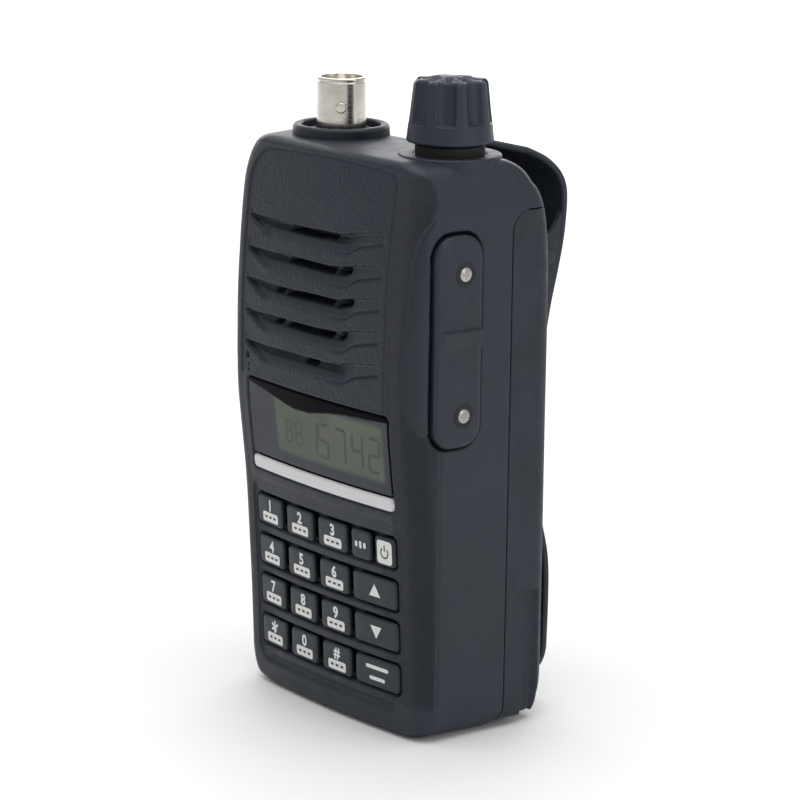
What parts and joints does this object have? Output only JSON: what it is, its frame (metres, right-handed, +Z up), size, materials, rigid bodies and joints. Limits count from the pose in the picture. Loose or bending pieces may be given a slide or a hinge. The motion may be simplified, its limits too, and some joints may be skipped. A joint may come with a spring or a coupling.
{
  "type": "handheld aviation radio",
  "caption": "Handheld two-way aviation radio with keypad, display, side jack cover, volume knob, coaxial aerial socket, battery pack and sprung belt clip.",
  "frame": {"origin": "centre of the flat bottom face that the radio stands on", "axes": "+X to the right as the front is seen, +Y towards the back, +Z up towards the aerial socket"},
  "size_m": [0.0624, 0.0446, 0.1258],
  "materials": {
    "case_plastic": "fine-grained satin charcoal",
    "key_plastic": "fine satin, printed symbols",
    "window": "polished, dark tint over the display",
    "trim": "brushed",
    "lcd": "grey-green liquid crystal panel",
    "rubber": "matte",
    "nickel": "bright nickel plating",
    "insulator": "beige",
    "contact_brass": "bright",
    "steel": "satin",
    "die_cast": "as cast",
    "circuit_board": "solder mask",
    "inner_plastic": "moulded",
    "cloth": "woven dust cloth",
    "cell_wrap": "shrink wrap",
    "capsule": "satin"
  },
  "bodies": {
    "radio": {"front_case": "case_plastic", "jack_cover": "case_plastic", "antenna_collar": "case_plastic", "display_window": "window", "trim_bar": "trim", "lcd_module": "lcd", "ptt_seal": "rubber", "knob_seal": "rubber", "antenna_gasket": "rubber", "keypad_mat": "rubber", "case_gasket": "rubber", "bnc_shell": "nickel", "bnc_nut": "nickel", "bnc_insulator": "insulator", "bnc_contact": "contact_brass", "jack_cover_screw_upper": "steel", "jack_cover_screw_lower": "steel", "chassis_screw_left": "steel", "chassis_screw_right": "steel", "volume_pot": "steel", "shield_can": "steel", "chassis": "die_cast", "main_pcb": "circuit_board", "speaker": "inner_plastic", "mic_jack": "inner_plastic", "speaker_jack": "inner_plastic", "ptt_switch": "inner_plastic", "contact_block": "inner_plastic", "speaker_cloth": "cloth", "microphone": "capsule"},
    "volume_knob": {"volume_knob": "case_plastic", "volume_shaft": "steel"},
    "ptt": {"ptt_button": "rubber"},
    "battery": {"battery_shell": "case_plastic", "battery_lid": "inner_plastic", "battery_contacts": "contact_brass", "battery_cell_left": "cell_wrap", "battery_cell_right": "cell_wrap", "clip_base": "case_plastic", "clip_pin": "steel", "clip_spring": "steel"},
    "clip": {"clip_arm": "case_plastic"},
    "latch": {"battery_latch": "case_plastic"},
    "key_1_body": {"key_1": "key_plastic"},
    "key_2_body": {"key_2": "key_plastic"},
    "key_3_body": {"key_3": "key_plastic"},
    "key_4_body": {"key_4": "key_plastic"},
    "key_5_body": {"key_5": "key_plastic"},
    "key_6_body": {"key_6": "key_plastic"},
    "key_7_body": {"key_7": "key_plastic"},
    "key_8_body": {"key_8": "key_plastic"},
    "key_9_body": {"key_9": "key_plastic"},
    "key_star_body": {"key_star": "key_plastic"},
    "key_0_body": {"key_0": "key_plastic"},
    "key_hash_body": {"key_hash": "key_plastic"},
    "key_monitor_body": {"key_monitor": "key_plastic"},
    "key_power_body": {"key_power": "key_plastic"},
    "key_up_body": {"key_up": "key_plastic"},
    "key_down_body": {"key_down": "key_plastic"},
    "key_call_body": {"key_call": "key_plastic"}
  },
  "joints": [
    {"name": "knob_turn", "type": "hinge", "parent": "radio", "child": "volume_knob", "pos_m": [0.0185, 0.0018, 0.1135], "axis": [0, 0, 1], "range_deg": [-140, 140]},
    {"name": "key_1_press", "type": "slide", "parent": "radio", "child": "key_1_body", "axis": [0, 1, 0], "range_m": [0, 0.0005], "stiffness_N_per_m": 600, "springref_m": -0.001},
    {"name": "key_2_press", "type": "slide", "parent": "radio", "child": "key_2_body", "axis": [0, 1, 0], "range_m": [0, 0.0005], "stiffness_N_per_m": 600, "springref_m": -0.001},
    {"name": "key_3_press", "type": "slide", "parent": "radio", "child": "key_3_body", "axis": [0, 1, 0], "range_m": [0, 0.0005], "stiffness_N_per_m": 600, "springref_m": -0.001},
    {"name": "key_4_press", "type": "slide", "parent": "radio", "child": "key_4_body", "axis": [0, 1, 0], "range_m": [0, 0.0005], "stiffness_N_per_m": 600, "springref_m": -0.001},
    {"name": "key_5_press", "type": "slide", "parent": "radio", "child": "key_5_body", "axis": [0, 1, 0], "range_m": [0, 0.0005], "stiffness_N_per_m": 600, "springref_m": -0.001},
    {"name": "key_6_press", "type": "slide", "parent": "radio", "child": "key_6_body", "axis": [0, 1, 0], "range_m": [0, 0.0005], "stiffness_N_per_m": 600, "springref_m": -0.001},
    {"name": "key_7_press", "type": "slide", "parent": "radio", "child": "key_7_body", "axis": [0, 1, 0], "range_m": [0, 0.0005], "stiffness_N_per_m": 600, "springref_m": -0.001},
    {"name": "key_8_press", "type": "slide", "parent": "radio", "child": "key_8_body", "axis": [0, 1, 0], "range_m": [0, 0.0005], "stiffness_N_per_m": 600, "springref_m": -0.001},
    {"name": "key_9_press", "type": "slide", "parent": "radio", "child": "key_9_body", "axis": [0, 1, 0], "range_m": [0, 0.0005], "stiffness_N_per_m": 600, "springref_m": -0.001},
    {"name": "key_star_press", "type": "slide", "parent": "radio", "child": "key_star_body", "axis": [0, 1, 0], "range_m": [0, 0.0005], "stiffness_N_per_m": 600, "springref_m": -0.001},
    {"name": "key_0_press", "type": "slide", "parent": "radio", "child": "key_0_body", "axis": [0, 1, 0], "range_m": [0, 0.0005], "stiffness_N_per_m": 600, "springref_m": -0.001},
    {"name": "key_hash_press", "type": "slide", "parent": "radio", "child": "key_hash_body", "axis": [0, 1, 0], "range_m": [0, 0.0005], "stiffness_N_per_m": 600, "springref_m": -0.001},
    {"name": "key_monitor_press", "type": "slide", "parent": "radio", "child": "key_monitor_body", "axis": [0, 1, 0], "range_m": [0, 0.0005], "stiffness_N_per_m": 600, "springref_m": -0.001},
    {"name": "key_power_press", "type": "slide", "parent": "radio", "child": "key_power_body", "axis": [0, 1, 0], "range_m": [0, 0.0005], "stiffness_N_per_m": 600, "springref_m": -0.001},
    {"name": "key_up_press", "type": "slide", "parent": "radio", "child": "key_up_body", "axis": [0, 1, 0], "range_m": [0, 0.0005], "stiffness_N_per_m": 600, "springref_m": -0.001},
    {"name": "key_down_press", "type": "slide", "parent": "radio", "child": "key_down_body", "axis": [0, 1, 0], "range_m": [0, 0.0005], "stiffness_N_per_m": 600, "springref_m": -0.001},
    {"name": "key_call_press", "type": "slide", "parent": "radio", "child": "key_call_body", "axis": [0, 1, 0], "range_m": [0, 0.0005], "stiffness_N_per_m": 600, "springref_m": -0.001},
    {"name": "ptt_press", "type": "slide", "parent": "radio", "child": "ptt", "axis": [1, 0, 0], "range_m": [0, 0.0008], "stiffness_N_per_m": 1500, "springref_m": -0.001},
    {"name": "battery_tilt", "type": "hinge", "parent": "radio", "child": "battery", "pos_m": [0, 0.0184, 0.1011], "axis": [1, 0, 0], "range_deg": [0, 18]},
    {"name": "latch_slide", "type": "slide", "parent": "battery", "child": "latch", "axis": [0, 1, 0], "range_m": [0, 0.0018], "stiffness_N_per_m": 1200, "springref_m": -0.001},
    {"name": "clip_pivot", "type": "hinge", "parent": "battery", "child": "clip", "pos_m": [0, 0.0232, 0.09], "axis": [1, 0, 0], "range_deg": [0, 12], "stiffness_Nm_per_rad": 0.6, "springref_deg": -20.05}
  ]
}
